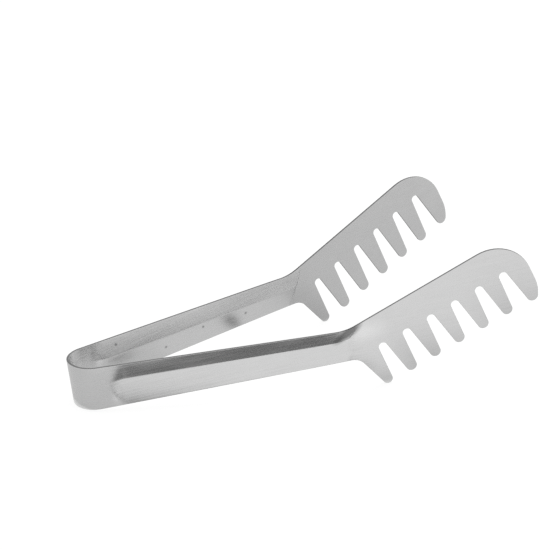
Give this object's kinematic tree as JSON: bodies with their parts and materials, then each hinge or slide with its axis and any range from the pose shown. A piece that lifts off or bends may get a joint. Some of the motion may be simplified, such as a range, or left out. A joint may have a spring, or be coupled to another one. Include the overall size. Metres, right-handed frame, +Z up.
{
  "type": "spaghetti tongs",
  "caption": "Stainless steel spaghetti tongs bent from one strip, with creased arms and toothed comb jaws that close against a spring bow.",
  "frame": {"origin": "centre of the bounding box's bottom, on the table that the tongs stand on", "axes": "+X from the bend to the combs, +Y to the left arm, +Z up as the tongs stand on edge"},
  "size_m": [0.2002, 0.0926, 0.0595],
  "materials": {
    "stainless_steel": "satin, brushed along the strip"
  },
  "bodies": {
    "bow": {"spring_bow": "stainless_steel"},
    "left_side": {"left_arm": "stainless_steel", "left_comb": "stainless_steel"},
    "right_side": {"right_arm": "stainless_steel", "right_comb": "stainless_steel"}
  },
  "joints": [
    {"name": "left_flex", "type": "hinge", "parent": "bow", "child": "left_side", "pos_m": [-0.08853, 0.01015, 0.0012], "axis": [0.1356, 0, -0.9908], "range_deg": [0, 13.3], "stiffness_Nm_per_rad": 2},
    {"name": "right_flex", "type": "hinge", "parent": "bow", "child": "right_side", "pos_m": [-0.08853, -0.01015, 0.0012], "axis": [-0.1356, 0, 0.9908], "range_deg": [0, 13.3], "stiffness_Nm_per_rad": 2}
  ],
  "couplings": [
    {"joint": "right_flex", "follows": "left_flex", "ratio": 1}
  ]
}
